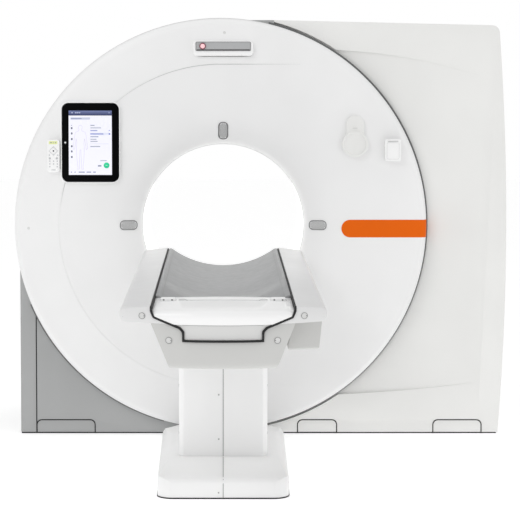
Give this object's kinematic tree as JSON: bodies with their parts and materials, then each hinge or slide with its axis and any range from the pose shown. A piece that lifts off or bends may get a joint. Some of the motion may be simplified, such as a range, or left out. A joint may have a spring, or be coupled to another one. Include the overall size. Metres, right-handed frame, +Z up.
{
  "type": "ct scanner",
  "caption": "Whole-body CT scanner: round-faced gantry with a patient bore and turning drum, and a lifting table whose concave cradle slides into the bore.",
  "frame": {"origin": "on the floor under the bore axis, in the plane of the gantry's front disc", "axes": "+Z up, +Y along the bore from the patient table into the gantry, +X to the right seen from the table"},
  "size_m": [2.136, 3.158, 1.811],
  "materials": {
    "white_cover": "painted moulding, satin",
    "grey_cover": "painted moulding, satin",
    "warm_grey_moulding": "moulded, fine grain",
    "bed_laminate": "gel coat over carbon laminate",
    "seam_rubber": "moulded",
    "window_grey": "smoked acrylic",
    "lamp_red": "tinted lens",
    "tablet_black": "gloss",
    "screen_glass": "lit display",
    "key_grey": "moulded",
    "orange_foil": "printed film",
    "frame_steel": "powder coat",
    "bright_steel": "ground",
    "cast_aluminium": "cast and machined",
    "unit_enamel": "enamel",
    "contact_brass": "turned",
    "insulator": "moulded"
  },
  "bodies": {
    "stand": {"gantry_base_frame": "frame_steel", "bearing_plate": "frame_steel", "bearing_outer_ring": "bright_steel", "front_disc_cover": "white_cover", "rear_disc_cover": "white_cover", "disc_seams": "seam_rubber", "bore_liner": "white_cover", "left_side_cover": "grey_cover", "left_front_cover": "grey_cover", "roof_cover": "grey_cover", "right_side_cover": "white_cover", "left_foot_cap": "grey_cover", "right_foot_caps": "white_cover", "display_housing": "white_cover", "display_window": "window_grey", "indicator_lamp": "lamp_red", "laser_windows": "window_grey", "tablet_dock": "white_cover", "tablet_body": "tablet_black", "tablet_screen": "screen_glass", "remote_body": "white_cover", "round_holder": "white_cover", "pocket_holder": "white_cover", "coloured_band": "orange_foil", "drive_motor": "unit_enamel", "drive_belt": "seam_rubber", "brush_block": "insulator", "power_cabinet": "unit_enamel", "table_floor_plate": "frame_steel", "foot_cover_left": "white_cover", "foot_cover_right": "white_cover", "lift_column_outer": "frame_steel"},
    "rotor": {"rotor_drum": "cast_aluminium", "bearing_inner_ring": "bright_steel", "slip_ring": "contact_brass", "xray_tube": "unit_enamel", "collimator": "cast_aluminium", "detector_arc": "cast_aluminium", "hv_generator": "unit_enamel", "tube_cooler": "unit_enamel", "counterweight": "frame_steel"},
    "pulley": {"motor_pulley": "cast_aluminium"},
    "shroud": {"column_cover_left": "white_cover", "column_cover_right": "white_cover"},
    "table": {"lift_column_inner": "bright_steel", "table_chassis": "frame_steel", "guide_rails": "bright_steel", "table_housing": "white_cover", "side_wing_left": "white_cover", "side_wing_right": "white_cover", "edge_gasket": "seam_rubber", "accessory_box": "warm_grey_moulding", "screw_caps": "white_cover"},
    "cradle": {"cradle_shell": "bed_laminate", "cradle_end_cap": "white_cover", "cradle_carriage": "cast_aluminium"},
    "home_button": {"tablet_home_button": "white_cover"},
    "pad_button": {"remote_pad": "white_cover"},
    "left_key": {"remote_key_left": "key_grey"},
    "right_key": {"remote_key_right": "key_grey"}
  },
  "joints": [
    {"name": "rotor_turn", "type": "hinge", "parent": "stand", "child": "rotor", "pos_m": [0, 0.57, 0.918], "axis": [0, 1, 0], "continuous": true},
    {"name": "pulley_turn", "type": "hinge", "parent": "stand", "child": "pulley", "pos_m": [0.729, 0.462, 0.408], "axis": [0, 1, 0], "continuous": true},
    {"name": "table_lift", "type": "slide", "parent": "stand", "child": "table", "axis": [0, 0, 1], "range_m": [-0.1, 0.05]},
    {"name": "shroud_slide", "type": "slide", "parent": "stand", "child": "shroud", "axis": [0, 0, 1], "range_m": [-0.0601, 0.0301]},
    {"name": "cradle_slide", "type": "slide", "parent": "table", "child": "cradle", "axis": [0, 1, 0], "range_m": [0, 1.6]},
    {"name": "tablet_home_button_push", "type": "slide", "parent": "stand", "child": "home_button", "axis": [0, 1, 0], "range_m": [0, 0.0012], "stiffness_N_per_m": 600},
    {"name": "remote_pad_push", "type": "slide", "parent": "stand", "child": "pad_button", "axis": [0, 1, 0], "range_m": [0, 0.0012], "stiffness_N_per_m": 600},
    {"name": "remote_left_key_push", "type": "slide", "parent": "stand", "child": "left_key", "axis": [0, 1, 0], "range_m": [0, 0.0012], "stiffness_N_per_m": 600},
    {"name": "remote_right_key_push", "type": "slide", "parent": "stand", "child": "right_key", "axis": [0, 1, 0], "range_m": [0, 0.0012], "stiffness_N_per_m": 600}
  ],
  "couplings": [
    {"joint": "pulley_turn", "follows": "rotor_turn", "ratio": 12.333},
    {"joint": "shroud_slide", "follows": "table_lift", "ratio": 0.6}
  ]
}
